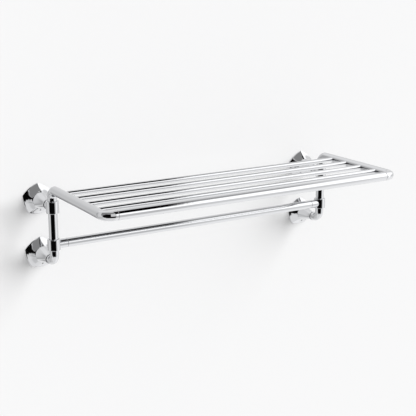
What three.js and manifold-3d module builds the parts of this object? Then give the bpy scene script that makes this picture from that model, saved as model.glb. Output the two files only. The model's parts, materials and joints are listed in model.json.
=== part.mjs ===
// Wall-mounted towel rack in chromed brass: a shelf of four thin bars and one thick front bar,
// carried by two posts, with a towel bar below. Each post is held by an upper and a lower flange.
// Millimetres, +X along the rack, +Y into the wall, +Z up.
// Origin: on the wall plane, midway between the four flange axes.

import * as THREE from "three";
import { mergeVertices } from "three/addons/utils/BufferGeometryUtils.js";
import Module from "manifold-3d";

const wasm = await Module();
wasm.setup();

// ---------------------------------------------------------------- driving dimensions
const POST_SPACING = 610;
const POST_TO_WALL = 72;
const SHELF_DEPTH = 227; // post axis to front bar axis
const FLANGE_SPACING = 105; // lower flange axis to upper flange axis
const SHELF_RISE = 33; // upper flange axis to shelf axis
const TOWEL_BAR_RISE = 34; // lower flange axis to towel bar axis
const BEND_RADIUS = 17;
const TUBE_RADIUS = 8.6;
const TUBE_WALL = 1.2;
const THIN_BAR_RADIUS = 4.9;
const THIN_BAR_OFFSETS = [47, 92, 137, 182]; // from the post axis towards the front
const THIN_BAR_PAST_WALL = 2.4; // how far a thin bar's end stands inside the side rail's bore
const COLLAR_RADIUS = 12;
const GAP = 0.3; // between pieces that touch
const PAST = 1; // how far a cutting tool runs past the face it cuts

// ---------------------------------------------------------------- derived places
const POST_X = POST_SPACING / 2;
const POST_Y = -POST_TO_WALL;
const FRONT_Y = POST_Y - SHELF_DEPTH;
const UPPER_Z = FLANGE_SPACING / 2;
const LOWER_Z = -FLANGE_SPACING / 2;
const SHELF_Z = UPPER_Z + SHELF_RISE;
const TOWEL_BAR_Z = LOWER_Z + TOWEL_BAR_RISE;
const BORE_RADIUS = TUBE_RADIUS - TUBE_WALL;
const PLUG_RADIUS = BORE_RADIUS - GAP;
const PLUG_REACH = 14; // into the cross tube
const SIDES = [
  { name: "left", sign: -1 },
  { name: "right", sign: 1 },
];
const LEVELS = [
  { name: "upper", z: UPPER_Z },
  { name: "lower", z: LOWER_Z },
];

// Tees: a sleeve round the post with a solid web inside, and one stub out of its side.
const UPPER_TEE = { height: 22.8, web: 8, stub: 21, stubBore: 9 };
const LOWER_TEE = { height: 20.8, web: 6, stub: 25, stubBore: 10 };
const TEE_CHAMFER = 0.9;
const SOCKET_RADIUS = TUBE_RADIUS + GAP;

// A bent tube's end, counted from the corner of its route: the bend and a short straight run.
const BENT_TUBE_END = BEND_RADIUS + 4;

// Flange: a five-sided shell with bowed sides that becomes round at its front.
const FLANGE_SIDES = 5;
const FLANGE_CORNER_RADIUS = 31.2;
const FLANGE_BOW = 2.5; // how far each side stands out past its chord
const FLANGE_FRONT_RADIUS = 15.7;
const FLANGE_HEIGHT = 15.5;
const FLANGE_HOLLOW = 0.3; // how far the facets sink between rim and neck, 0 for straight
const FLANGE_WALL = 2.2;
const FLANGE_STEPS_PER_SIDE = 6;
const FLANGE_ROWS = 4;

// Neck: a bell on the flange's front, narrowing to the tube's size.
const NECK_BASE = FLANGE_HEIGHT + GAP; // distance from the wall
const NECK_TIP = POST_TO_WALL - UPPER_TEE.stub - GAP;
const NECK_TIP_RADIUS = 8.8;
const NECK_FLARE_POWER = 1.5;
const NECK_BEAD = { radius: 9.6, width: 2.4 };
const NECK_SHANK = { radius: 13, bore: 11.3, start: 5 };
const NECK_SPIGOT_LENGTH = 3.5;
const NECK_CORE = { radius: 6, end: 44 };

// Wall bracket, its screws and the grub screw that fixes the neck to it.
const BRACKET = { radius: 21, thickness: 3, bossRadius: 11, bossHeight: 14, bossBore: 7 };
const SCREW_OFFSET = 16;
const WALL_SCREW = { head: 3.7, shank: 2, length: 34, tip: 4, recess: 1.2 };
const GRUB_SCREW = { radius: 1.5, length: 6, distance: 9.5, socket: 0.85, socketDepth: 2.5 };

const TUBE_SEGMENTS = 20;
const THIN_SEGMENTS = 16;
const SMALL_SEGMENTS = 12;
const BEND_STEPS = 5;
const FLARE_STEPS = 7;
const SOCKET_SIDES = 6;

// ---------------------------------------------------------------- materials
const chrome = () => new THREE.MeshStandardMaterial({ color: 0xd9dbde, roughness: 0.06, metalness: 1 });
const zinc = () => new THREE.MeshStandardMaterial({ color: 0x9a9c9e, roughness: 0.45, metalness: 1 });
const steel = () => new THREE.MeshStandardMaterial({ color: 0x8a8c90, roughness: 0.35, metalness: 1 });

// ---------------------------------------------------------------- geometry helpers

// Solid of revolution about +Y. The profile lists [radius, height] counter-clockwise.
function revolve(profile, segments) {
  const points = profile.map(([radius, height]) => new THREE.Vector2(radius, height));
  return new THREE.LatheGeometry(points, segments);
}

// Solid round rod about +Y from height `low` to height `high`.
function rod(radius, low, high, segments) {
  return revolve([[0, low], [radius, low], [radius, high], [0, high]], segments);
}

// Open-ended tube about +Y.
function pipe(outer, inner, low, high, segments) {
  const ring = [[inner, low], [outer, low], [outer, high], [inner, high], [inner, low]];
  return revolve(ring, segments);
}

function toSolid(geometry) {
  const bare = geometry.clone();
  bare.deleteAttribute("normal");
  bare.deleteAttribute("uv");
  const merged = mergeVertices(bare, 1e-4);
  return new wasm.Manifold(
    new wasm.Mesh({
      numProp: 3,
      vertProperties: new Float32Array(merged.attributes.position.array),
      triVerts: new Uint32Array(merged.index.array),
    })
  );
}

function toGeometry(solid) {
  const mesh = solid.getMesh();
  const geometry = new THREE.BufferGeometry();
  geometry.setAttribute("position", new THREE.BufferAttribute(mesh.vertProperties, 3));
  geometry.setIndex(new THREE.BufferAttribute(mesh.triVerts, 1));
  geometry.computeVertexNormals();
  return geometry;
}

function join(first, ...others) {
  return toGeometry(others.reduce((sum, other) => sum.add(toSolid(other)), toSolid(first)));
}

function cut(body, ...tools) {
  return toGeometry(tools.reduce((rest, tool) => rest.subtract(toSolid(tool)), toSolid(body)));
}

// Turns a shape made about +Y so that its axis points along the given direction.
function alongX(geometry) {
  return geometry.rotateZ(-Math.PI / 2);
}

function alongZ(geometry) {
  return geometry.rotateX(Math.PI / 2);
}

function awayFromWall(geometry) {
  return geometry.rotateX(Math.PI);
}

// A route of straight runs and round bends, sampled only where a bent tube needs a section.
class BentRoute extends THREE.Curve {
  constructor(corners, bendRadius, bendSteps) {
    super();
    this.stations = BentRoute.layOut(corners, bendRadius, bendSteps);
  }

  static layOut(corners, bendRadius, bendSteps) {
    const heading = (from, to) => to.clone().sub(from).normalize();
    const stations = [{ point: corners[0], tangent: heading(corners[0], corners[1]) }];
    for (let i = 1; i < corners.length - 1; i += 1) {
      const before = heading(corners[i - 1], corners[i]);
      const after = heading(corners[i], corners[i + 1]);
      const centre = corners[i].clone().addScaledVector(before, -bendRadius);
      centre.addScaledVector(after, bendRadius);
      for (let step = 0; step <= bendSteps; step += 1) {
        const angle = ((Math.PI / 2) * step) / bendSteps;
        const point = centre.clone().addScaledVector(after, -bendRadius * Math.cos(angle));
        point.addScaledVector(before, bendRadius * Math.sin(angle));
        const tangent = before.clone().multiplyScalar(Math.cos(angle));
        tangent.addScaledVector(after, Math.sin(angle));
        stations.push({ point, tangent });
      }
    }
    const last = corners.length - 1;
    stations.push({ point: corners[last], tangent: heading(corners[last - 1], corners[last]) });
    return stations;
  }

  get steps() {
    return this.stations.length - 1;
  }

  stationAt(fraction) {
    return this.stations[Math.round(fraction * this.steps)];
  }

  getPointAt(fraction) {
    return this.stationAt(fraction).point.clone();
  }

  getTangentAt(fraction) {
    return this.stationAt(fraction).tangent.clone();
  }
}

function bentTube(corners) {
  const section = new THREE.Shape();
  section.absarc(0, 0, TUBE_RADIUS, 0, 2 * Math.PI);
  const bore = new THREE.Path();
  bore.absarc(0, 0, BORE_RADIUS, 0, 2 * Math.PI, true);
  section.holes.push(bore);
  const route = new BentRoute(corners, BEND_RADIUS, BEND_STEPS);
  return new THREE.ExtrudeGeometry(section, {
    steps: route.steps,
    curveSegments: TUBE_SEGMENTS / 2, // a full circle takes two points for each
    extrudePath: route,
  });
}

// ---------------------------------------------------------------- sub-parts

// Sleeve about +Z with its stub towards +X.
function teeGeometry(tee) {
  const half = tee.height / 2;
  const rim = COLLAR_RADIUS - TEE_CHAMFER;
  const shoulder = half - TEE_CHAMFER;
  const profile = [[0, -half], [rim, -half], [COLLAR_RADIUS, -shoulder]];
  profile.push([COLLAR_RADIUS, shoulder], [rim, half], [0, half]);
  const sleeve = alongZ(revolve(profile, TUBE_SEGMENTS));
  const stub = alongX(rod(TUBE_RADIUS, 0, tee.stub, TUBE_SEGMENTS));
  const socketTop = alongZ(rod(SOCKET_RADIUS, tee.web / 2, half + PAST, TUBE_SEGMENTS));
  const socketBottom = alongZ(rod(SOCKET_RADIUS, -half - PAST, -tee.web / 2, TUBE_SEGMENTS));
  const bore = alongX(rod(BORE_RADIUS, tee.stub - tee.stubBore, tee.stub + PAST, TUBE_SEGMENTS));
  return cut(join(sleeve, stub), socketTop, socketBottom, bore);
}

// The bent side tube: up out of the upper tee, forward, then in towards the front bar.
function sideRailGeometry(sign) {
  const start = UPPER_Z + UPPER_TEE.web / 2 + GAP;
  const corners = [
    new THREE.Vector3(0, POST_Y, start),
    new THREE.Vector3(0, POST_Y, SHELF_Z),
    new THREE.Vector3(0, FRONT_Y, SHELF_Z),
    new THREE.Vector3(-sign * BENT_TUBE_END, FRONT_Y, SHELF_Z),
  ];
  const drills = THIN_BAR_OFFSETS.map((offset) => {
    const drill = alongX(rod(THIN_BAR_RADIUS + GAP, 0, 2 * TUBE_RADIUS, THIN_SEGMENTS));
    drill.scale(-sign, -sign, 1);
    return drill.translate(0, POST_Y - offset, SHELF_Z);
  });
  return cut(bentTube(corners), ...drills);
}

// The bent tube from the lower tee down and back to the lower neck.
function bottomElbowGeometry() {
  const top = TOWEL_BAR_Z - LOWER_TEE.web / 2 - GAP;
  return bentTube([
    new THREE.Vector3(0, POST_Y, top),
    new THREE.Vector3(0, POST_Y, LOWER_Z),
    new THREE.Vector3(0, POST_Y + BENT_TUBE_END, LOWER_Z),
  ]);
}

// Angle and reach of each point round the flange's five-sided outline.
function flangeOutline() {
  const sideAngle = (2 * Math.PI) / FLANGE_SIDES;
  const outline = [];
  for (let side = 0; side < FLANGE_SIDES; side += 1) {
    const middleAngle = Math.PI / 2 + (side + 0.5) * sideAngle;
    for (let step = 0; step < FLANGE_STEPS_PER_SIDE; step += 1) {
      const along = (2 * step) / FLANGE_STEPS_PER_SIDE - 1; // -1 at one corner, 1 at the next
      const across = FLANGE_CORNER_RADIUS * Math.sin(sideAngle / 2) * along;
      const bow = FLANGE_BOW * (1 - along * along);
      const out = FLANGE_CORNER_RADIUS * Math.cos(sideAngle / 2) + bow;
      outline.push({ angle: middleAngle + Math.atan2(across, out), reach: Math.hypot(across, out) });
    }
  }
  return outline;
}

// Closed shell through a loop of rings; each ring has a height and a radius for a given reach.
function ringShell(outline, rings) {
  const positions = [];
  for (const ring of rings) {
    for (const { angle, reach } of outline) {
      const radius = ring.radius(reach);
      positions.push(radius * Math.cos(angle), -ring.height, radius * Math.sin(angle));
    }
  }
  const indices = [];
  const count = outline.length;
  for (let r = 0; r < rings.length; r += 1) {
    for (let i = 0; i < count; i += 1) {
      const here = r * count + i;
      const beside = r * count + ((i + 1) % count);
      const above = ((r + 1) % rings.length) * count + i;
      const diagonal = ((r + 1) % rings.length) * count + ((i + 1) % count);
      indices.push(here, beside, diagonal, here, diagonal, above);
    }
  }
  const geometry = new THREE.BufferGeometry();
  geometry.setAttribute("position", new THREE.Float32BufferAttribute(positions, 3));
  geometry.setIndex(indices);
  geometry.computeVertexNormals();
  return geometry;
}

// Rings of one hollow face, from the outline at the wall to a circle of radius `front` at `top`.
function facetRings(front, top, wall) {
  return Array.from({ length: FLANGE_ROWS + 1 }, (_, row) => {
    const share = row / FLANGE_ROWS;
    const height = top * share * (1 + FLANGE_HOLLOW * (share - 1));
    return { height, radius: (reach) => (reach - wall) * (1 - share) + front * share };
  });
}

function flangeGeometry() {
  const hole = NECK_SHANK.radius + GAP;
  const inside = FLANGE_HEIGHT - FLANGE_WALL;
  const shell = ringShell(flangeOutline(), [
    ...facetRings(FLANGE_FRONT_RADIUS, FLANGE_HEIGHT, 0),
    { height: FLANGE_HEIGHT, radius: () => hole },
    { height: inside, radius: () => hole },
    ...facetRings(FLANGE_FRONT_RADIUS - FLANGE_WALL, inside, FLANGE_WALL).reverse(),
  ]);
  return cut(shell, grubDrill(GRUB_SCREW.radius + 2 * GAP));
}

// Radial drill from below, where the grub screw goes in.
function grubDrill(radius) {
  const drill = alongZ(rod(radius, -FLANGE_CORNER_RADIUS, -BRACKET.bossRadius, SMALL_SEGMENTS));
  return drill.translate(0, -GRUB_SCREW.distance, 0);
}

function neckGeometry() {
  const core = NECK_CORE;
  const shank = NECK_SHANK;
  const boreEnd = BRACKET.bossHeight + GAP;
  const beadStart = NECK_TIP - NECK_BEAD.width;
  const spigotEnd = NECK_TIP + NECK_SPIGOT_LENGTH;
  const profile = [[0, core.end], [core.radius, core.end], [core.radius, boreEnd]];
  profile.push([shank.bore, boreEnd], [shank.bore, shank.start], [shank.radius, shank.start]);
  profile.push([shank.radius, NECK_BASE]);
  for (let step = 0; step <= FLARE_STEPS; step += 1) {
    const left = 1 - step / FLARE_STEPS;
    const swell = (FLANGE_FRONT_RADIUS - NECK_TIP_RADIUS) * left ** NECK_FLARE_POWER;
    profile.push([NECK_TIP_RADIUS + swell, beadStart - left * (beadStart - NECK_BASE)]);
  }
  profile.push([NECK_BEAD.radius, beadStart], [NECK_BEAD.radius, NECK_TIP]);
  profile.push([PLUG_RADIUS, NECK_TIP], [PLUG_RADIUS, spigotEnd], [0, spigotEnd]);
  const body = awayFromWall(revolve(profile, TUBE_SEGMENTS));
  return cut(body, grubDrill(GRUB_SCREW.radius + GAP));
}

function bracketGeometry() {
  const { radius, thickness, bossRadius, bossHeight, bossBore } = BRACKET;
  const profile = [[0, 0], [radius, 0], [radius, thickness], [bossRadius, thickness]];
  profile.push([bossRadius, bossHeight], [bossBore, bossHeight], [bossBore, thickness], [0, thickness]);
  const body = awayFromWall(revolve(profile, TUBE_SEGMENTS));
  return cut(body, ...[-1, 1].map((sign) => wallScrewDrill().translate(0, 0, sign * SCREW_OFFSET)));
}

// Outline shared by the wall screw and its countersunk hole, grown by a clearance.
function countersink(clearance) {
  const head = WALL_SCREW.head + clearance;
  const shank = WALL_SCREW.shank + clearance;
  const face = BRACKET.thickness - GAP + clearance;
  return { head, shank, face, coneEnd: face - (head - shank) };
}

function wallScrewDrill() {
  const { head, shank, face, coneEnd } = countersink(GAP);
  const profile = [[0, -PAST], [shank, -PAST], [shank, coneEnd], [head, face]];
  profile.push([head, face + PAST], [0, face + PAST]);
  return awayFromWall(revolve(profile, SMALL_SEGMENTS));
}

function wallScrewGeometry() {
  const { head, shank, face, coneEnd } = countersink(0);
  const end = face - WALL_SCREW.length;
  const profile = [[0, end], [shank, end + WALL_SCREW.tip], [shank, coneEnd], [head, face], [0, face]];
  const body = revolve(profile, SMALL_SEGMENTS);
  const slots = [0, Math.PI / 2].map((turn) => {
    const slot = new THREE.BoxGeometry(WALL_SCREW.head, 2 * WALL_SCREW.recess, WALL_SCREW.recess);
    return slot.rotateY(turn).translate(0, face, 0);
  });
  return awayFromWall(cut(body, ...slots));
}

function grubScrewGeometry() {
  const inner = BRACKET.bossRadius + GAP;
  const outer = inner + GRUB_SCREW.length;
  const body = rod(GRUB_SCREW.radius, inner, outer, SMALL_SEGMENTS);
  const socketStart = outer - GRUB_SCREW.socketDepth;
  const socket = rod(GRUB_SCREW.socket, socketStart, outer + PAST, SOCKET_SIDES);
  return cut(body, socket).rotateX(-Math.PI / 2);
}

// Straight tube across the rack, centred on it.
function crossTube(halfLength) {
  return alongX(pipe(TUBE_RADIUS, BORE_RADIUS, -halfLength, halfLength, TUBE_SEGMENTS));
}

// ---------------------------------------------------------------- assembly
const group = new THREE.Group();

function place(parent, name, geometry, material, [x, y, z] = [0, 0, 0]) {
  const mesh = new THREE.Mesh(geometry, material);
  mesh.name = name;
  mesh.position.set(x, y, z);
  parent.add(mesh);
}

function addWallFixing(parent, name, z) {
  place(parent, `${name}_wall_bracket`, bracketGeometry(), zinc(), [0, 0, z]);
  place(parent, `${name}_flange`, flangeGeometry(), chrome(), [0, 0, z]);
  place(parent, `${name}_neck`, neckGeometry(), chrome(), [0, 0, z]);
  place(parent, `${name}_grub_screw`, grubScrewGeometry(), steel(), [0, -GRUB_SCREW.distance, z]);
  place(parent, `${name}_wall_screw_top`, wallScrewGeometry(), steel(), [0, 0, z + SCREW_OFFSET]);
  place(parent, `${name}_wall_screw_base`, wallScrewGeometry(), steel(), [0, 0, z - SCREW_OFFSET]);
}

function addSide({ name, sign }) {
  const side = new THREE.Group();
  side.position.x = sign * POST_X;
  for (const level of LEVELS) {
    addWallFixing(side, `${level.name}_${name}`, level.z);
  }
  const upperTee = teeGeometry(UPPER_TEE).rotateZ(Math.PI / 2);
  place(side, `upper_${name}_tee`, upperTee, chrome(), [0, POST_Y, UPPER_Z]);
  const lowerTee = teeGeometry(LOWER_TEE).rotateZ(sign > 0 ? Math.PI : 0);
  place(side, `lower_${name}_tee`, lowerTee, chrome(), [0, POST_Y, TOWEL_BAR_Z]);
  const postBottom = TOWEL_BAR_Z + LOWER_TEE.web / 2 + GAP;
  const postTop = UPPER_Z - UPPER_TEE.web / 2 - GAP;
  const post = alongZ(pipe(TUBE_RADIUS, BORE_RADIUS, postBottom, postTop, TUBE_SEGMENTS));
  place(side, `${name}_post`, post, chrome(), [0, POST_Y, 0]);
  place(side, `${name}_side_rail`, sideRailGeometry(sign), chrome());
  place(side, `${name}_bottom_elbow`, bottomElbowGeometry(), chrome());
  group.add(side);
}

// A plug joins a cross tube to the tube or stub that carries it.
function addPlug(name, sign, joint, intoCarrier, intoTube, y, z) {
  const low = joint - intoTube;
  const high = joint + intoCarrier;
  const plug = alongX(rod(PLUG_RADIUS, low, high, TUBE_SEGMENTS));
  if (sign < 0) {
    plug.rotateZ(Math.PI);
  }
  place(group, name, plug, zinc(), [0, y, z]);
}

function addCrossTubes() {
  const frontHalf = POST_X - BENT_TUBE_END - GAP;
  const towelHalf = POST_X - LOWER_TEE.stub - GAP;
  place(group, "front_bar", crossTube(frontHalf), chrome(), [0, FRONT_Y, SHELF_Z]);
  place(group, "towel_bar", crossTube(towelHalf), chrome(), [0, POST_Y, TOWEL_BAR_Z]);
  for (const { name, sign } of SIDES) {
    const frontReach = BENT_TUBE_END - BEND_RADIUS - GAP;
    addPlug(`front_bar_${name}_plug`, sign, frontHalf, frontReach, PLUG_REACH, FRONT_Y, SHELF_Z);
    const stubReach = LOWER_TEE.stubBore - GAP;
    addPlug(`towel_bar_${name}_plug`, sign, towelHalf, stubReach, PLUG_REACH, POST_Y, TOWEL_BAR_Z);
  }
}

function addShelfBars() {
  const reach = POST_X - BORE_RADIUS + THIN_BAR_PAST_WALL;
  THIN_BAR_OFFSETS.forEach((offset, index) => {
    const bar = alongX(rod(THIN_BAR_RADIUS, -reach, reach, THIN_SEGMENTS));
    place(group, `shelf_bar_${index + 1}`, bar, chrome(), [0, POST_Y - offset, SHELF_Z]);
  });
}

SIDES.forEach(addSide);
addCrossTubes();
addShelfBars();

export default group;
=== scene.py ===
import json
import math

import bmesh
import bpy
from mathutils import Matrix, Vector

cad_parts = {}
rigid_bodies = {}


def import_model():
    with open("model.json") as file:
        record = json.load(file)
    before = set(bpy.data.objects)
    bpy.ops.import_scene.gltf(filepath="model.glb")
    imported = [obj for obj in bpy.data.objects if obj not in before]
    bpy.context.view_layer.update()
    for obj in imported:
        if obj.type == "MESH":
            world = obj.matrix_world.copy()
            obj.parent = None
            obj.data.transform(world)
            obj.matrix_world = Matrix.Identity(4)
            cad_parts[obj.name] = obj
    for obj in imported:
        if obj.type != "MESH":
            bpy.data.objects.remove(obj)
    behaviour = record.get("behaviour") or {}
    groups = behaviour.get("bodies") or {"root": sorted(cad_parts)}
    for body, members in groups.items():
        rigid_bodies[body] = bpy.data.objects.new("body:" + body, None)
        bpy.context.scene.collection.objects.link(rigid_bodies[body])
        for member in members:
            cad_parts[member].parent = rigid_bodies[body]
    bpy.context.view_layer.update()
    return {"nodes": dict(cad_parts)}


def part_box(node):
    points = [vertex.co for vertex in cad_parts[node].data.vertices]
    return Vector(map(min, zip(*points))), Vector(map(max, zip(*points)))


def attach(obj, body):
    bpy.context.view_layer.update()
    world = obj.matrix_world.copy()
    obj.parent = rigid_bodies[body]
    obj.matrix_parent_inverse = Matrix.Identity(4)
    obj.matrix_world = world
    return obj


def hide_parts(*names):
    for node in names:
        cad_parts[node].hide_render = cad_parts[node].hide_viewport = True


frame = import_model()

# Towel rack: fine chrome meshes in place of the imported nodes, their materials, camera and studio.
# Metres, +X along the rack, +Y into the wall, +Z up; the wall plane is y = 0.

MM = 0.001
SIDES = ("left", "right")
LEVELS = ("upper", "lower")
SHELF_BARS = 4

# ---------------------------------------------------------------- named sizes
BEND_RADIUS = 17 * MM
TUBE_WALL = 1.2 * MM
GAP = 0.3 * MM  # between pieces that fit together
RIM = 0.3 * MM  # rounding of a tube's end

TEE_WEB = {"upper": 8 * MM, "lower": 6 * MM}  # solid middle of a collar, between its two sockets
COLLAR_FILLET = 0.8 * MM
STUB_BORE_DEPTH = 9 * MM
OVERCUT = 3 * MM  # how far a stub's drill runs on past its end

FLANGE_SIDES = 5
FLANGE_CORNER_RADIUS = 31.2 * MM
FLANGE_BOW = 2.5 * MM  # how far each of its sides bulges out
FLANGE_FRONT_RADIUS = 15.7 * MM
FLANGE_HEIGHT = 15.5 * MM
FLANGE_HOLLOW = 0.3  # how far the facets sink between rim and neck, 0 for straight
FLANGE_WALL = 2.2 * MM
FLANGE_EDGE = 0.35 * MM  # radius of its rounded edges
FLANGE_EDGE_RISE = 0.6  # height of the rounded rim at the wall, as a share of its depth
FACET_START = 0.03  # where a facet's rows begin, as a share of the way to the front
FACET_SPAN = 0.95  # and how much of that way they take
RIDGE_SOFTNESS = 0.22 * MM

NECK_TIP_RADIUS = 8.8 * MM
NECK_FLARE_POWER = 1.5
NECK_BEAD_RADIUS = 9.6 * MM
NECK_BEAD_WIDTH = 2.4 * MM
NECK_SHANK_RADIUS = 13 * MM
NECK_SHANK_BORE = 11.3 * MM
NECK_SHANK_START = 5 * MM
NECK_BORE_END = 14.3 * MM
NECK_SPIGOT_LENGTH = 3.5 * MM
NECK_EDGE = 0.3 * MM  # bevel of the flare's foot
BEAD_FILLET = 0.4 * MM
SPIGOT_FILLET = 0.3 * MM

BRACKET_THICKNESS = 3 * MM
BOSS_RADIUS = 11 * MM
BOSS_BORE = 7 * MM
PLATE_BACK_FILLET = 0.3 * MM
PLATE_FRONT_FILLET = 0.8 * MM
BOSS_ROOT_FILLET = 0.9 * MM
BOSS_RIM_FILLET = 0.6 * MM
BOSS_BORE_FILLET = 0.5 * MM

SCREW_HEAD_RADIUS = 3.7 * MM
SCREW_HEAD_EDGE = 0.15 * MM
SCREW_NECK_FILLET = 0.3 * MM
SCREW_SHANK_RADIUS = 2 * MM
SCREW_ROOT_RADIUS = 1.4 * MM
SCREW_TIP = 4 * MM
SCREW_RECESS = 1.2 * MM
SCREW_PITCH = 1.8 * MM
THREAD_START = 4 * MM  # plain shank under the head
THREAD_RUN_IN = 0.2 * MM  # plain rod just before a wall screw's thread
THREAD_FLANK = 0.42  # half the width of a thread's ridge, in turns
POINT_RADIUS = 0.12 * MM  # of a wall screw's blunt point
GRUB_RADIUS = 1.5 * MM
GRUB_CHAMFER = 0.35 * MM
GRUB_END = 0.1 * MM  # left free below its lower end
GRUB_SOCKET_RADIUS = 0.85 * MM
GRUB_SOCKET_SIDES = 6
GRUB_SOCKET_DEPTH = 2.5 * MM
GRUB_PITCH = 0.5 * MM

# ---------------------------------------------------------------- fineness of the meshes
TUBE_SEGMENTS = 64
THIN_SEGMENTS = 48
SMALL_SEGMENTS = 32
THREAD_SEGMENTS = 24
THREAD_ROWS = 8  # for each turn
FLANGE_ROWS = 24
ANGLES_PER_SIDE = 28
FLARE_STEPS = 36
BEND_STEPS = 20
ARC_STEPS = 4
BEND_SUPPORT = BEND_RADIUS / 30  # from a bend to the ring that keeps the straight run straight
FILLET_SUPPORT = 0.3  # the same beside a fillet, as a share of its radius
RIM_SUPPORT = 3  # the same behind a tube's rim, in rim radii
CAP_SHARE = 0.5  # where a flat end has a ring, as a share of the way from its middle to its edge
THIN_CAP_SHARE = 0.4  # the same on a shelf bar
HEAD_CAP_SHARE = 0.6  # and on a wall screw's head
SHARP_ANGLE = math.radians(31)
UPRIGHT = 0.9  # least height of a unit vector that counts as upright

scene = bpy.context.scene


# ---------------------------------------------------------------- places, read from the frame
def centre(node):
    low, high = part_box(node)
    return (low + high) / 2


def half_size(node):
    low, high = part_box(node)
    return (high - low) / 2


TUBE_RADIUS = half_size("left_post").x
BORE_RADIUS = TUBE_RADIUS - TUBE_WALL


# ---------------------------------------------------------------- mesh helpers
def new_piece(name, vertices, faces, material):
    """A closed mesh with outward faces, smooth except at hard edges."""
    mesh = bpy.data.meshes.new(name)
    mesh.from_pydata([tuple(v) for v in vertices], [], faces)
    piece = bpy.data.objects.new(name, mesh)
    scene.collection.objects.link(piece)
    finish_mesh(piece, material)
    return piece


def finish_mesh(piece, material):
    mesh = piece.data
    edit = bmesh.new()
    edit.from_mesh(mesh)
    bmesh.ops.recalc_face_normals(edit, faces=edit.faces)
    edit.to_mesh(mesh)
    edit.free()
    mesh.polygons.foreach_set("use_smooth", [True] * len(mesh.polygons))
    mesh.set_sharp_from_angle(angle=SHARP_ANGLE)
    mesh.materials.clear()
    mesh.materials.append(material)


def skin(rings, closed):
    """Vertices and faces of a body through rings of points; open ends are capped flat."""
    count = len(rings[0])
    vertices = [point for ring in rings for point in ring]
    faces = []
    for r in range(len(rings) if closed else len(rings) - 1):
        here, there = r * count, ((r + 1) % len(rings)) * count
        for i in range(count):
            j = (i + 1) % count
            faces.append((here + i, here + j, there + j, there + i))
    if not closed:
        faces.append(tuple(range(count)))
        faces.append(tuple(range(len(vertices) - 1, len(vertices) - 1 - count, -1)))
    return vertices, faces


def square_to(direction):
    """Two unit vectors square to a direction and to each other."""
    helper = Vector((0, 0, 1)) if abs(direction.z) < UPRIGHT else Vector((1, 0, 0))
    across = direction.cross(helper).normalized()
    return across, direction.cross(across).normalized()


def circle(middle, across, other, radius, segments):
    turns = [2 * math.pi * i / segments for i in range(segments)]
    return [middle + radius * (math.cos(t) * across + math.sin(t) * other) for t in turns]


def soften(corners):
    """Profile points from corners (radius, height, fillet), with an arc at each filleted corner.

    The first and last corners have no fillet.
    """
    points = []
    for i, (radius, height, fillet) in enumerate(corners):
        here = Vector((radius, height))
        if fillet == 0:
            points.append(here)
            continue
        before = (Vector(corners[i - 1][:2]) - here).normalized()
        after = (Vector(corners[i + 1][:2]) - here).normalized()
        half = before.angle(after) / 2
        setback = fillet / math.tan(half)
        middle = here + (before + after).normalized() * (fillet / math.sin(half))
        start = here + before * setback - middle
        end = here + after * setback - middle
        turn = math.pi - 2 * half
        side = 1 if start.x * end.y - start.y * end.x > 0 else -1
        points.append(middle + start + before * FILLET_SUPPORT * fillet)
        for step in range(ARC_STEPS + 1):
            angle = side * turn * step / ARC_STEPS
            cos, sin = math.cos(angle), math.sin(angle)
            spoke = Vector((start.x * cos - start.y * sin, start.x * sin + start.y * cos))
            points.append(middle + spoke)
        points.append(middle + end + after * FILLET_SUPPORT * fillet)
    return points


def turned(name, profile, origin, direction, material, segments=TUBE_SEGMENTS):
    """Body of revolution about the line from `origin` along `direction`, with flat ends."""
    direction = Vector(direction)
    across, other = square_to(direction)
    rings = [circle(origin + direction * p.y, across, other, p.x, segments) for p in profile]
    return new_piece(name, *skin(rings, False), material)


def drill(origin, direction, radius, length, segments=SMALL_SEGMENTS):
    """Plain rod used as a boolean tool, with as many sides as `segments`."""
    profile = [Vector((radius, 0)), Vector((radius, length))]
    return turned("tool", profile, origin, direction, None, segments)


def combine(piece, operation, *tools):
    """Joins or cuts a piece with tool bodies, which are used up."""
    material = piece.data.materials[0]
    for tool in tools:
        modifier = piece.modifiers.new("combine", "BOOLEAN")
        modifier.operation = operation
        modifier.solver = "EXACT"
        modifier.object = tool
        bpy.context.view_layer.update()
        graph = bpy.context.evaluated_depsgraph_get()
        result = bpy.data.meshes.new_from_object(piece.evaluated_get(graph))
        piece.modifiers.clear()
        old = piece.data
        piece.data = result
        result.name = piece.name
        bpy.data.meshes.remove(old)
        bpy.data.objects.remove(tool)
    finish_mesh(piece, material)


# ---------------------------------------------------------------- bent tubes
def bend_route(corners):
    """Stations (point, tangent) of a route with a round bend at each inner corner."""
    first = (corners[1] - corners[0]).normalized()
    stations = [(corners[0], first)]
    for previous, corner, following in zip(corners, corners[1:], corners[2:]):
        before = (corner - previous).normalized()
        after = (following - corner).normalized()
        middle = corner - before * BEND_RADIUS + after * BEND_RADIUS
        stations.append((corner - before * (BEND_RADIUS + BEND_SUPPORT), before))
        for step in range(BEND_STEPS + 1):
            angle = math.pi / 2 * step / BEND_STEPS
            cos, sin = math.cos(angle), math.sin(angle)
            point = middle - after * BEND_RADIUS * cos + before * BEND_RADIUS * sin
            stations.append((point, before * cos + after * sin))
        stations.append((corner + after * (BEND_RADIUS + BEND_SUPPORT), after))
    stations.append((corners[-1], (corners[-1] - corners[-2]).normalized()))
    return stations


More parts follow.
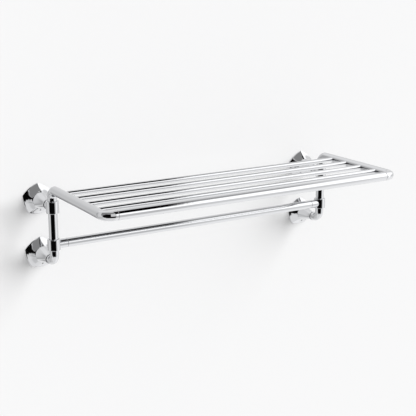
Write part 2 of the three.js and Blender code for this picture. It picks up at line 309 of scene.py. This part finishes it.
def hollow_tube(name, corners):
    """Chrome tube with a bore along a route, with softened rims at both ends."""
    stations = bend_route(corners)
    first, last = stations[0], stations[-1]
    across, other = square_to(first[1])
    frames = []
    tangent = first[1]
    for point, heading in stations:
        turn = tangent.rotation_difference(heading)
        across, other, tangent = turn @ across, turn @ other, heading
        frames.append((point, across.copy(), other.copy()))

    def end_rings(inward, near):
        back = RIM_SUPPORT * RIM
        rim = [(BORE_RADIUS, back, 0), (BORE_RADIUS, 0, RIM), (TUBE_RADIUS, 0, RIM), (TUBE_RADIUS, back, 0)]
        point, side, up = near
        profile = soften(rim)
        return [circle(point + inward * p.y, side, up, p.x, TUBE_SEGMENTS) for p in profile]

    start = end_rings(first[1], frames[0])
    end = end_rings(-last[1], frames[-1])
    outside = [circle(*near, TUBE_RADIUS, TUBE_SEGMENTS) for near in frames[1:-1]]
    inside = [circle(*near, BORE_RADIUS, TUBE_SEGMENTS) for near in reversed(frames[1:-1])]
    return new_piece(name, *skin(start + outside + end[::-1] + inside, True), TUBE_CHROME)


# ---------------------------------------------------------------- materials
CHROME = (0.62, 0.625, 0.64)
ZINC_GREY = (0.42, 0.43, 0.45)
STEEL_GREY = (0.5, 0.5, 0.49)
SMUDGE_DETAIL = 6
WAVE_DETAIL = 2
WAVE_FINENESS = 3


def shade(name, colour, roughness, variation, bump_height, grain):
    """Metal with fine variation of polish and a shallow surface wave."""
    material = bpy.data.materials.new(name)
    material.use_nodes = True
    nodes, links = material.node_tree.nodes, material.node_tree.links
    surface = nodes["Principled BSDF"]
    surface.inputs["Base Color"].default_value = (*colour, 1)
    surface.inputs["Metallic"].default_value = 1
    place = nodes.new("ShaderNodeTexCoord")
    smudge = nodes.new("ShaderNodeTexNoise")
    smudge.inputs["Scale"].default_value = grain
    smudge.inputs["Detail"].default_value = SMUDGE_DETAIL
    links.new(place.outputs["Object"], smudge.inputs["Vector"])
    polish = nodes.new("ShaderNodeMapRange")
    polish.inputs["To Min"].default_value = roughness
    polish.inputs["To Max"].default_value = roughness + variation
    links.new(smudge.outputs["Fac"], polish.inputs["Value"])
    links.new(polish.outputs["Result"], surface.inputs["Roughness"])
    wave = nodes.new("ShaderNodeTexNoise")
    wave.inputs["Scale"].default_value = grain * WAVE_FINENESS
    wave.inputs["Detail"].default_value = WAVE_DETAIL
    links.new(place.outputs["Object"], wave.inputs["Vector"])
    bump = nodes.new("ShaderNodeBump")
    bump.inputs["Strength"].default_value = 1
    bump.inputs["Distance"].default_value = bump_height
    links.new(wave.outputs["Fac"], bump.inputs["Height"])
    links.new(bump.outputs["Normal"], surface.inputs["Normal"])
    return material


# name, colour, roughness and how much it varies, depth of the wave, fineness of the grain
TUBE_CHROME = shade("tube_chrome", CHROME, 0.02, 0.04, 0.01 * MM, 60)
CAST_CHROME = shade("cast_chrome", CHROME, 0.03, 0.05, 0.02 * MM, 60)
ZINC = shade("die_cast_zinc", ZINC_GREY, 0.42, 0.12, 0.05 * MM, 900)
STEEL = shade("plated_steel", STEEL_GREY, 0.28, 0.1, 0.02 * MM, 700)


# ---------------------------------------------------------------- pieces
def stand_in(piece, node):
    """Shows a piece in place of its CAD node."""
    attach(piece, "root")
    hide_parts(node)


def tube(node, corners):
    """Straight or bent chrome tube in place of a CAD node."""
    piece = hollow_tube(node + "_tube", [Vector(corner) for corner in corners])
    stand_in(piece, node)


def bar(node):
    """Thick straight tube along the rack."""
    low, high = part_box(node)
    middle = centre(node)
    tube(node, [(low.x, middle.y, middle.z), (high.x, middle.y, middle.z)])


def post(node):
    """Upright tube between the two tees of one side."""
    low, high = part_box(node)
    middle = centre(node)
    tube(node, [(middle.x, middle.y, low.z), (middle.x, middle.y, high.z)])


def shelf_bar(node):
    """Thin solid bar along the rack."""
    half = half_size(node)
    cap, radius = THIN_CAP_SHARE * half.z, half.z
    corners = [(cap, -half.x, 0), (radius, -half.x, RIM), (radius, half.x, RIM), (cap, half.x, 0)]
    profile = soften(corners)
    along = (1, 0, 0)
    piece = turned(node + "_rod", profile, centre(node), along, TUBE_CHROME, THIN_SEGMENTS)
    stand_in(piece, node)


def side_rail(side):
    """Up from the post, forward along the shelf's side and round its front corner."""
    node = side + "_side_rail"
    low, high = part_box(node)
    x, y, _ = centre(side + "_post")
    front, top = low.y + TUBE_RADIUS, high.z - TUBE_RADIUS
    inner = high.x if side == "left" else low.x
    tube(node, [(x, y, low.z), (x, y, top), (x, front, top), (inner, front, top)])


def bottom_elbow(side):
    """Down from the lower tee and back to the lower neck."""
    node = side + "_bottom_elbow"
    low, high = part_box(node)
    x, y, _ = centre(side + "_post")
    bottom = low.z + TUBE_RADIUS
    tube(node, [(x, y, high.z), (x, y, bottom), (x, high.y, bottom)])


def tee(node, web, stub_direction):
    """Sleeve round the post with a stub out of its side."""
    low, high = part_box(node)
    half = (high.z - low.z) / 2
    stub = Vector(stub_direction)
    is_along_x = abs(stub.x) > 0.5
    collar = half_size(node).y if is_along_x else half_size(node).x
    far = (high.x if stub.x > 0 else low.x) if is_along_x else high.y
    axis = centre(node)
    if is_along_x:
        axis.x = far - stub.x * ((high.x - low.x) - collar)
    else:
        axis.y = low.y + collar
    reach = abs(far - (axis.x if is_along_x else axis.y))
    corners = [(collar * CAP_SHARE, -half, 0), (collar, -half, COLLAR_FILLET)]
    corners += [(collar, half, COLLAR_FILLET), (collar * CAP_SHARE, half, 0)]
    profile = soften(corners)
    up = Vector((0, 0, 1))
    piece = turned(node + "_collar", profile, axis, up, CAST_CHROME)
    rod_corners = [(TUBE_RADIUS, 0, 0), (TUBE_RADIUS, reach, RIM), (TUBE_RADIUS * CAP_SHARE, reach, 0)]
    rod_profile = soften(rod_corners)
    rod = turned("tool", rod_profile, axis, stub, None)
    combine(piece, "UNION", rod)
    socket = TUBE_RADIUS + GAP
    top = drill(axis + up * web / 2, up, socket, half, TUBE_SEGMENTS)
    bottom = drill(axis - up * web / 2, -up, socket, half, TUBE_SEGMENTS)
    bore_start = axis + stub * (reach - STUB_BORE_DEPTH)
    bore = drill(bore_start, stub, BORE_RADIUS, STUB_BORE_DEPTH + OVERCUT, TUBE_SEGMENTS)
    combine(piece, "DIFFERENCE", top, bottom, bore)
    stand_in(piece, node)


def flange_reach(angle):
    """Distance from the axis to the five-sided outline, with its corners slightly softened."""
    side_angle = 2 * math.pi / FLANGE_SIDES
    flat = FLANGE_CORNER_RADIUS * math.cos(side_angle / 2)
    half = FLANGE_CORNER_RADIUS * math.sin(side_angle / 2)
    total = 0
    for side in range(FLANGE_SIDES):
        turn = angle - math.pi / 2 - (side + 0.5) * side_angle
        turn = (turn + math.pi) % (2 * math.pi) - math.pi
        if abs(turn) > side_angle:
            continue
        curve = FLANGE_BOW * (math.tan(turn) / half) ** 2
        out = flat + FLANGE_BOW
        if curve > 1e-9:  # off the middle of the side
            out = (math.sqrt(1 + 4 * curve * out) - 1) / (2 * curve)
        total += math.exp(-out / math.cos(turn) / RIDGE_SOFTNESS)
    return -RIDGE_SOFTNESS * math.log(total)


def flange_angles():
    """Angles round the outline, closer together at the ridges."""
    side_angle = 2 * math.pi / FLANGE_SIDES
    angles = []
    for side in range(FLANGE_SIDES):
        middle = math.pi / 2 + (side + 0.5) * side_angle
        for step in range(ANGLES_PER_SIDE):
            along = 2 * step / ANGLES_PER_SIDE - 1
            angles.append(middle + side_angle / 2 * math.sin(math.pi / 2 * along))
    return angles


def flange(node, axis):
    """Five hollow facets from the outline at the wall to the round front, over a shell."""
    outline = [(angle, flange_reach(angle)) for angle in flange_angles()]
    hole = NECK_SHANK_RADIUS + GAP
    inside = FLANGE_HEIGHT - FLANGE_WALL

    def ring(radius_for, height):
        points = []
        for angle, reach in outline:
            radius = radius_for(reach)
            points.append(axis + Vector((radius * math.cos(angle), -height, radius * math.sin(angle))))
        return points

    def facet_ring(share, front, top, wall):
        height = top * share * (1 + FLANGE_HOLLOW * (share - 1))
        return ring(lambda reach: (reach - wall) * (1 - share) + front * share, height)

    edge = FLANGE_EDGE
    rings = [ring(lambda reach: reach - edge, 0)]
    for step in range(1, ARC_STEPS + 1):  # rounded rim at the wall
        angle = math.pi / 2 * step / ARC_STEPS
        back = edge * (1 - math.sin(angle))
        rise = FLANGE_EDGE_RISE * edge * (1 - math.cos(angle))
        rings.append(ring(lambda reach, back=back: reach - back, rise))
    for row in range(1, FLANGE_ROWS):
        share = FACET_START + FACET_SPAN * row / FLANGE_ROWS
        rings.append(facet_ring(share, FLANGE_FRONT_RADIUS, FLANGE_HEIGHT, 0))
    for step in range(ARC_STEPS + 1):  # rounded edge at the front
        angle = math.pi / 2 * step / ARC_STEPS
        back = edge * (1 - math.cos(angle))
        drop = edge * (1 - math.sin(angle))
        rings.append(ring(lambda reach, back=back: FLANGE_FRONT_RADIUS - back, FLANGE_HEIGHT - drop))
    rings.append(ring(lambda reach: hole, FLANGE_HEIGHT))
    rings.append(ring(lambda reach: hole, inside))
    inner_rows = FLANGE_ROWS // 2
    for row in range(inner_rows + 1):
        share = 1 - row / inner_rows
        rings.append(facet_ring(share, FLANGE_FRONT_RADIUS - FLANGE_WALL, inside, FLANGE_WALL))
    piece = new_piece(node + "_shell", *skin(rings, True), CAST_CHROME)
    grub = centre(node.replace("flange", "grub_screw"))
    hole_start = Vector((axis.x, grub.y, axis.z - BOSS_RADIUS))
    grub_hole = drill(hole_start, (0, 0, -1), GRUB_RADIUS + 2 * GAP, FLANGE_CORNER_RADIUS)
    combine(piece, "DIFFERENCE", grub_hole)
    stand_in(piece, node)


def neck(node, axis):
    """Bell that flares from the tip's bead to the flange, with a shank over the bracket's boss."""
    low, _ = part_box(node)
    spigot_end = -low.y
    tip = spigot_end - NECK_SPIGOT_LENGTH
    base = FLANGE_HEIGHT + GAP
    bead_start = tip - NECK_BEAD_WIDTH
    corners = [(BOSS_RADIUS * CAP_SHARE, NECK_BORE_END, 0), (NECK_SHANK_BORE, NECK_BORE_END, 0)]
    corners += [(NECK_SHANK_BORE, NECK_SHANK_START, 0), (NECK_SHANK_RADIUS, NECK_SHANK_START, 0)]
    corners += [(NECK_SHANK_RADIUS, base, 0), (FLANGE_FRONT_RADIUS - NECK_EDGE, base, 0)]
    for step in range(FLARE_STEPS + 1):
        left = 1 - step / FLARE_STEPS
        swell = (FLANGE_FRONT_RADIUS - NECK_TIP_RADIUS) * left ** NECK_FLARE_POWER
        height = bead_start - left * (bead_start - base)
        corners.append((NECK_TIP_RADIUS + swell, height + (NECK_EDGE if step == 0 else 0), 0))
    corners += [(NECK_BEAD_RADIUS, bead_start, BEAD_FILLET), (NECK_BEAD_RADIUS, tip, BEAD_FILLET)]
    spigot = BORE_RADIUS - GAP
    corners += [(spigot, tip, 0), (spigot, spigot_end, SPIGOT_FILLET), (spigot * CAP_SHARE, spigot_end, 0)]
    profile = soften(corners)
    piece = turned(node + "_bell", profile, axis, (0, -1, 0), CAST_CHROME)
    stand_in(piece, node)


def bracket(node, screws):
    """Wall plate with a hollow boss and two countersunk holes."""
    low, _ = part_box(node)
    radius, boss_end = half_size(node).x, -low.y
    face = BRACKET_THICKNESS
    axis = centre(node)
    axis.y = 0
    corners = [(BOSS_BORE * CAP_SHARE, 0, 0), (radius, 0, PLATE_BACK_FILLET)]
    corners += [(radius, face, PLATE_FRONT_FILLET), (BOSS_RADIUS, face, BOSS_ROOT_FILLET)]
    corners += [(BOSS_RADIUS, boss_end, BOSS_RIM_FILLET), (BOSS_BORE, boss_end, BOSS_BORE_FILLET)]
    corners += [(BOSS_BORE, face, BOSS_ROOT_FILLET), (BOSS_BORE * CAP_SHARE, face, 0)]
    profile = soften(corners)
    piece = turned(node + "_plate", profile, axis, (0, -1, 0), ZINC)
    shank, head = SCREW_SHANK_RADIUS + GAP, SCREW_HEAD_RADIUS + GAP
    cone = face - (head - shank)
    outline = [Vector(p) for p in ((shank, -MM), (shank, cone), (head, face), (head, face + MM))]
    for screw in screws:
        start = Vector((screw.x, 0, screw.z))
        tool = turned("tool", outline, start, (0, -1, 0), None, SMALL_SEGMENTS)
        combine(piece, "DIFFERENCE", tool)
    stand_in(piece, node)


def block(middle, size):
    """Box used as a boolean tool."""
    signs = [(x, y, z) for x in (-0.5, 0.5) for y in (-0.5, 0.5) for z in (-0.5, 0.5)]
    vertices = [middle + Vector((x * size.x, y * size.y, z * size.z)) for x, y, z in signs]
    faces = [(0, 1, 3, 2), (4, 6, 7, 5), (0, 4, 5, 1), (2, 3, 7, 6), (0, 2, 6, 4), (1, 5, 7, 3)]
    return new_piece("tool", vertices, faces, None)


def threaded(name, origin, direction, plain, radii, pitch, reach, tip):
    """Rod with profile points `plain`, then a thread between the root and crest radii along `reach`.

    Over the length `tip` at its end it tapers to a point.
    """
    root, crest = radii
    start, end = reach
    direction = Vector(direction)
    across, other = square_to(direction)
    rings = [circle(origin + direction * p.y, across, other, p.x, THREAD_SEGMENTS) for p in plain]
    rows = math.ceil((end - start) / pitch * THREAD_ROWS)
    for row in range(rows + 1):
        height = start + (end - start) * row / rows
        taper = min(1, (end - height) / tip) if tip else 1
        fade = min(1, (height - start) / pitch)
        ring = []
        for i in range(THREAD_SEGMENTS):
            phase = (height / pitch - i / THREAD_SEGMENTS) % 1
            ridge = 1 - min(1, abs(phase - 0.5) / THREAD_FLANK)
            radius = crest + (root + (crest - root) * ridge - crest) * fade
            radius = max(radius * taper, POINT_RADIUS)
            angle = 2 * math.pi * i / THREAD_SEGMENTS
            spoke = across * math.cos(angle) + other * math.sin(angle)
            ring.append(origin + direction * height + spoke * radius)
        rings.append(ring)
    return new_piece(name, *skin(rings, False), STEEL)


def wall_screw(node):
    """Countersunk wood screw with a cross recess."""
    low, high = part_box(node)
    face = centre(node)
    face.y = low.y
    length = high.y - low.y
    cone = SCREW_HEAD_RADIUS - SCREW_SHANK_RADIUS
    plain_end = THREAD_START - THREAD_RUN_IN
    corners = [(SCREW_HEAD_RADIUS * HEAD_CAP_SHARE, 0, 0), (SCREW_HEAD_RADIUS, 0, SCREW_HEAD_EDGE)]
    corners += [(SCREW_SHANK_RADIUS, cone, SCREW_NECK_FILLET), (SCREW_SHANK_RADIUS, plain_end, 0)]
    plain = soften(corners)
    radii, reach = (SCREW_ROOT_RADIUS, SCREW_SHANK_RADIUS), (THREAD_START, length)
    piece = threaded(node + "_thread", face, (0, 1, 0), plain, radii, SCREW_PITCH, reach, SCREW_TIP)
    long, thin = SCREW_HEAD_RADIUS, SCREW_RECESS
    combine(piece, "DIFFERENCE", block(face, Vector((long, 2 * thin, thin))))
    combine(piece, "DIFFERENCE", block(face, Vector((thin, 2 * thin, long))))
    stand_in(piece, node)


def grub_screw(node):
    """Set screw with a six-sided socket in its lower end."""
    low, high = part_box(node)
    start = centre(node)
    start.z = high.z
    length = high.z - low.z
    down = (0, 0, -1)
    plain = [Vector((GRUB_RADIUS - 2 * GRUB_CHAMFER, 0)), Vector((GRUB_RADIUS, GRUB_CHAMFER / 2))]
    radii, reach = (GRUB_RADIUS - GRUB_CHAMFER, GRUB_RADIUS), (GRUB_CHAMFER, length - GRUB_END)
    piece = threaded(node + "_thread", start, down, plain, radii, GRUB_PITCH, reach, 0)
    socket_end = start - Vector((0, 0, length - GRUB_SOCKET_DEPTH))
    combine(piece, "DIFFERENCE", drill(socket_end, down, GRUB_SOCKET_RADIUS, length, GRUB_SOCKET_SIDES))
    stand_in(piece, node)


for side in SIDES:
    side_rail(side)
    bottom_elbow(side)
    post(side + "_post")
    tee(f"upper_{side}_tee", TEE_WEB["upper"], (0, 1, 0))
    tee(f"lower_{side}_tee", TEE_WEB["lower"], (1 if side == "left" else -1, 0, 0))
    for level in LEVELS:
        name = f"{level}_{side}"
        screw_top, screw_base = centre(name + "_wall_screw_top"), centre(name + "_wall_screw_base")
        axis = Vector((centre(name + "_wall_bracket").x, 0, (screw_top.z + screw_base.z) / 2))
        flange(name + "_flange", axis)
        neck(name + "_neck", axis)
        bracket(name + "_wall_bracket", (screw_top, screw_base))
        wall_screw(name + "_wall_screw_top")
        wall_screw(name + "_wall_screw_base")
        grub_screw(name + "_grub_screw")
bar("front_bar")
bar("towel_bar")
for number in range(1, SHELF_BARS + 1):
    shelf_bar(f"shelf_bar_{number}")

# The joint plugs keep their CAD shapes.
for node in frame["nodes"].values():
    if not node.hide_render:
        node.data.materials.clear()
        node.data.materials.append(ZINC)

# ---------------------------------------------------------------- camera
VIEW_AZIMUTH = math.radians(-31.02)
VIEW_ELEVATION = math.radians(14.39)
VIEW_DISTANCE = 2.0
FARTHEST_VIEW = 20
AIM = Vector((0.0637, -0.0076, -0.0124))
LENS = 83.1
SENSOR_WIDTH = 36


def add_camera():
    data = bpy.data.cameras.new("camera")
    data.lens = LENS
    data.sensor_width = SENSOR_WIDTH
    data.clip_end = FARTHEST_VIEW
    camera = bpy.data.objects.new("camera", data)
    scene.collection.objects.link(camera)
    flat, rise = math.cos(VIEW_ELEVATION), math.sin(VIEW_ELEVATION)
    back = Vector((math.sin(VIEW_AZIMUTH) * flat, -math.cos(VIEW_AZIMUTH) * flat, rise))
    camera.location = AIM + back * VIEW_DISTANCE
    camera.rotation_mode = "QUATERNION"
    camera.rotation_quaternion = (-back).to_track_quat("-Z", "Y")
    scene.camera = camera


add_camera()

# ---------------------------------------------------------------- studio
PALE = 0.93  # the room that the chrome reflects, away from the panels
BACKDROP = 0.947  # what the camera sees behind everything
FILL_LIGHT = 0.58  # what lights the matt surfaces from all sides
TURNED, ROLLED = "turned", "rolled"

# The panels that the chrome reflects, in degrees. A turned panel is placed by compass (0 to the
# front, 90 to the right) and height, a rolled one by roll about the rack's length (0 to the front,
# 90 straight up) and lean towards the rack's right end. Each is (kind, brightness, (from, to, blur),
# (from, to, blur)), and lies over those before it.
PANELS = (
    # floor, and the paler part of it to the right
    (TURNED, 1.05, (-200, 200, 1), (-95, -34, 6)),
    (TURNED, 0.8, (-135, -92, 8), (-72, -30, 10)),
    (TURNED, 0.58, (-125, -85, 8), (-31, -22, 5)),
    (ROLLED, 1.25, (-115, -42, 10), (16, 75, 4)),
    (ROLLED, 0.76, (-44, 7, 6), (14, 29, 2)),
    # room behind: pale high up, darker low down and to the left
    (TURNED, 1.1, (-210, -148, 10), (34, 66, 8)),
    (TURNED, 1.1, (148, 210, 10), (34, 66, 8)),
    (TURNED, 0.8, (-172, -125, 8), (-22, 20, 10)),
    (TURNED, 0.48, (-210, -159, 8), (-40, -16, 5)),
    (TURNED, 0.56, (-149, -133, 7), (-50, 28, 12)),
    # soft boxes on the right
    (ROLLED, 1.75, (5, 78, 5), (20, 60, 3)),
    (TURNED, 1.7, (60, 107, 4), (12, 54, 6)),
    (TURNED, 1.7, (43, 57, 3), (-24, 10, 6)),
    # black cloths in front, the left one with a pale rim
    (TURNED, 0.62, (-88, -20, 2), (-20, 51, 2)),
    (TURNED, 0.003, (-83, -20, 1.5), (-13, 48, 1.5)),
    (TURNED, 0.003, (-79, -20, 1.5), (-21, 0, 1.5)),
    (TURNED, 0.003, (-75, -20, 1.5), (-28, 0, 1.5)),
    (TURNED, 0.003, (-60, 18, 4), (-38, -3, 3)),
    # grey ceiling and wall to the left, over the cloth's upper corner
    (ROLLED, 0.62, (67, 80, 1), (-90, -24, 2)),
    (ROLLED, 0.33, (70.5, 112, 1), (-90, -24, 2)),
    (TURNED, 0.33, (-122, 72, 10), (52, 110, 1)),
    # overhead: a grey edge, then the black cloth
    (ROLLED, 0.5, (80, 112, 6), (27, 37, 3)),
    (ROLLED, 0.4, (98, 106, 4), (15, 28, 3)),
    (ROLLED, 0.002, (40, 101, 2), (15, 28.5, 1)),
)


def add_studio():
    """World that shows the panels to the chrome, and plain light to all else."""
    world = bpy.data.worlds.new("studio")
    scene.world = world
    world.use_nodes = True
    world.cycles.sampling_method = "NONE"
    nodes, links = world.node_tree.nodes, world.node_tree.links

    def math_node(operation, *values):
        node = nodes.new("ShaderNodeMath")
        node.operation = operation
        for socket, value in zip(node.inputs, values):
            if isinstance(value, (int, float)):
                socket.default_value = value
            else:
                links.new(value, socket)
        return node.outputs[0]

    def rise(value, edge, blur):
        node = nodes.new("ShaderNodeMapRange")
        node.interpolation_type = "SMOOTHSTEP"
        node.inputs["From Min"].default_value = edge - blur
        node.inputs["From Max"].default_value = edge + blur
        links.new(value, node.inputs["Value"])
        return node.outputs[0]

    def inside(value, low, high, blur):
        before_end = math_node("SUBTRACT", 1.0, rise(value, high, blur))
        return math_node("MULTIPLY", rise(value, low, blur), before_end)

    direction = nodes.new("ShaderNodeTexCoord").outputs["Generated"]
    split = nodes.new("ShaderNodeSeparateXYZ")
    links.new(direction, split.inputs[0])
    x, y, z = split.outputs
    front = math_node("MULTIPLY", y, -1.0)
    angles = {
        TURNED: (math_node("ARCTAN2", x, front), math_node("ARCSINE", z)),
        ROLLED: (math_node("ARCTAN2", z, front), math_node("ARCSINE", x)),
    }
    degrees = {kind: [math_node("DEGREES", angle) for angle in pair] for kind, pair in angles.items()}
    light = PALE
    for kind, brightness, first, second in PANELS:
        along, up = degrees[kind]
        mask = math_node("MULTIPLY", inside(along, *first), inside(up, *second))
        change = math_node("SUBTRACT", brightness, light)
        light = math_node("MULTIPLY_ADD", mask, change, light)
    reflected = nodes["Background"]
    links.new(light, reflected.inputs["Strength"])
    reflected.inputs["Color"].default_value = (1, 1, 1, 1)
    path = nodes.new("ShaderNodeLightPath")
    plain = nodes.new("ShaderNodeBackground")
    plain.inputs["Color"].default_value = (1, 1, 1, 1)
    seen = math_node("MULTIPLY_ADD", path.outputs["Is Camera Ray"], BACKDROP - FILL_LIGHT, FILL_LIGHT)
    links.new(seen, plain.inputs["Strength"])
    mix = nodes.new("ShaderNodeMixShader")
    links.new(path.outputs["Is Glossy Ray"], mix.inputs[0])
    links.new(plain.outputs[0], mix.inputs[1])
    links.new(reflected.outputs[0], mix.inputs[2])
    links.new(mix.outputs[0], nodes["World Output"].inputs["Surface"])


# ---------------------------------------------------------------- room and lamp
ROOM_REACH = 25.0
FLOOR_HEIGHT = -0.75
WALL_FACE = 0.0006  # just behind the brackets' backs
WALL_COLOUR = (0.8, 0.8, 0.803)
FLOOR_COLOUR = (0.71, 0.71, 0.71)
PAINT_ROUGHNESS = 0.9
KEY_ENERGY = 4.65
KEY_SPREAD = math.radians(56)
KEY_HEADING = Vector((-0.8, 0.42, -0.5))
NEAR_WALL = ("_shell", "_bell", "_plate", "_collar")  # endings of the pieces that cast shadows


def matt(name, colour, one_sided):
    """Plain pale paint; a one-sided surface is clear from behind."""
    material = bpy.data.materials.new(name)
    material.use_nodes = True
    nodes, links = material.node_tree.nodes, material.node_tree.links
    paint = nodes["Principled BSDF"]
    paint.inputs["Base Color"].default_value = (*colour, 1)
    paint.inputs["Roughness"].default_value = PAINT_ROUGHNESS
    paint.inputs["Specular IOR Level"].default_value = 0
    if one_sided:
        clear = nodes.new("ShaderNodeBsdfTransparent")
        mix = nodes.new("ShaderNodeMixShader")
        links.new(nodes.new("ShaderNodeNewGeometry").outputs["Backfacing"], mix.inputs[0])
        links.new(paint.outputs[0], mix.inputs[1])
        links.new(clear.outputs[0], mix.inputs[2])
        links.new(mix.outputs[0], nodes["Material Output"].inputs["Surface"])
    return material


def backdrop(name, corners, material):
    """Flat surface that neither the chrome nor scattered light meets."""
    mesh = bpy.data.meshes.new(name)
    mesh.from_pydata(corners, [], [(0, 1, 2, 3)])
    mesh.materials.append(material)
    item = bpy.data.objects.new(name, mesh)
    scene.collection.objects.link(item)
    item.visible_glossy = False
    item.visible_diffuse = False


def add_room():
    wide, floor, back = ROOM_REACH, FLOOR_HEIGHT, WALL_FACE
    wall = [(-wide, back, floor), (wide, back, floor), (wide, back, wide), (-wide, back, wide)]
    backdrop("wall", wall, matt("wall_paint", WALL_COLOUR, one_sided=True))
    ground = [(-wide, -wide, floor), (wide, -wide, floor), (wide, wide, floor), (-wide, wide, floor)]
    backdrop("floor", ground, matt("floor_paint", FLOOR_COLOUR, one_sided=False))


def add_key_light():
    """Broad light from the upper right; only what is close to the wall shades it."""
    data = bpy.data.lights.new("key", "SUN")
    data.energy = KEY_ENERGY
    data.angle = KEY_SPREAD
    lamp = bpy.data.objects.new("key", data)
    scene.collection.objects.link(lamp)
    lamp.visible_glossy = False
    lamp.rotation_mode = "QUATERNION"
    lamp.rotation_quaternion = KEY_HEADING.to_track_quat("-Z", "Y")
    near_wall = bpy.data.collections.new("near_wall")
    for piece in scene.objects:
        if piece.name.endswith(NEAR_WALL):
            near_wall.objects.link(piece)
    lamp.light_linking.blocker_collection = near_wall


add_studio()
add_room()
add_key_light()
scene.view_settings.view_transform = "Standard"
